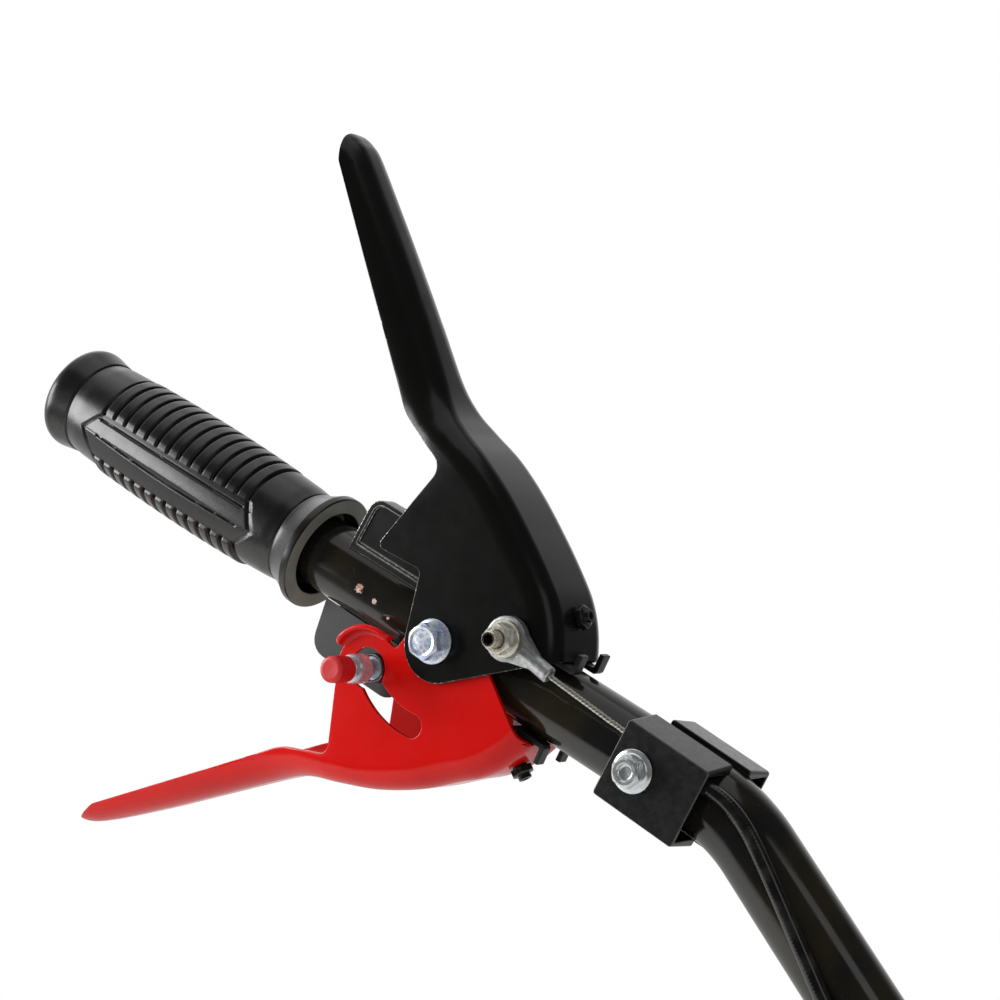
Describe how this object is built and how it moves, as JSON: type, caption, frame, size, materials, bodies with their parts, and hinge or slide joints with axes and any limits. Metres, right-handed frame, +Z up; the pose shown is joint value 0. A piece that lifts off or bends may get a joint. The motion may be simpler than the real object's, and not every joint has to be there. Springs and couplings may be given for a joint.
{
  "type": "cultivator handlebar end with control levers",
  "caption": "Handlebar end of a walk-behind cultivator with rubber grip, black drive lever, red reverse lever, lock button and cable clamp.",
  "frame": {"origin": "centre of the handlebar tube's lower end", "axes": "+X from the grip towards the machine, along the level ground; +Z up; the side with the lock button faces -Y"},
  "size_m": [0.3875, 0.0762, 0.3589],
  "materials": {
    "black_enamel": "gloss black enamel, chipped by the brackets",
    "grip_rubber": "satin black",
    "black_powder_coat": "satin black powder coat",
    "red_powder_coat": "gloss red powder coat",
    "grey_primer": "matt dark grey",
    "bare_steel": "plain turned steel",
    "zinc_plate": "bright bluish zinc plate",
    "zinc_casting": "dull zinc die casting",
    "black_polyamide": "fine-grained black plastic",
    "cable_sheath": "gloss black plastic sheath",
    "red_button_plastic": "satin red plastic"
  },
  "bodies": {
    "handlebar": {"handlebar_tube": "black_enamel", "grip": "grip_rubber", "upper_bracket": "black_powder_coat", "lower_bracket": "grey_primer", "pivot_bush": "bare_steel", "pivot_bolt": "zinc_plate", "pivot_nut": "zinc_plate", "clamp_front": "black_polyamide", "clamp_rear": "black_polyamide", "clamp_bolt": "zinc_plate", "clamp_nut": "zinc_plate", "drive_cable_sheath": "cable_sheath", "reverse_cable_sheath": "cable_sheath", "lock_guide_bush": "bare_steel"},
    "drive_lever_group": {"drive_lever": "black_powder_coat", "drive_stop_pad": "black_polyamide", "drive_stop_screw": "black_polyamide", "drive_cable_stud": "zinc_plate", "drive_stud_nut": "zinc_plate"},
    "drive_cable_end": {"drive_cable_eye": "zinc_casting", "drive_cable_wire": "zinc_plate"},
    "reverse_lever_group": {"reverse_lever": "red_powder_coat", "reverse_stop_pad": "black_polyamide", "reverse_stop_screw": "black_polyamide", "reverse_cable_stud": "zinc_plate", "reverse_stud_nut": "zinc_plate"},
    "reverse_cable_end": {"reverse_cable_eye": "zinc_casting", "reverse_cable_wire": "zinc_plate"},
    "lock_button": {"lock_pin": "zinc_plate", "lock_button_cap": "red_button_plastic", "lock_clip": "zinc_plate"}
  },
  "joints": [
    {"name": "drive_lever_pivot", "type": "hinge", "parent": "handlebar", "child": "drive_lever_group", "pos_m": [-0.17871, 0, 0.15428], "axis": [0, -1, 0], "range_deg": [0, 37], "stiffness_Nm_per_rad": 1.5, "springref_deg": -34.38},
    {"name": "reverse_lever_pivot", "type": "hinge", "parent": "handlebar", "child": "reverse_lever_group", "pos_m": [-0.17871, 0, 0.15428], "axis": [0, 1, 0], "range_deg": [0, 39], "stiffness_Nm_per_rad": 1.5, "springref_deg": -34.38},
    {"name": "drive_eye_pivot", "type": "hinge", "parent": "drive_lever_group", "child": "drive_cable_end", "pos_m": [-0.14512, 0, 0.15531], "axis": [0, -1, 0], "range_deg": [-48, 0]},
    {"name": "reverse_eye_pivot", "type": "hinge", "parent": "reverse_lever_group", "child": "reverse_cable_end", "pos_m": [-0.16102, 0, 0.12571], "axis": [0, 1, 0], "range_deg": [-50.5, 0]},
    {"name": "lock_button_slide", "type": "slide", "parent": "handlebar", "child": "lock_button", "axis": [0, 1, 0], "range_m": [0, 0.0035], "stiffness_N_per_m": 400, "springref_m": -0.006}
  ],
  "couplings": [
    {"joint": "drive_eye_pivot", "follows": "drive_lever_pivot", "ratio": -1.28},
    {"joint": "reverse_eye_pivot", "follows": "reverse_lever_pivot", "ratio": -1.28}
  ]
}
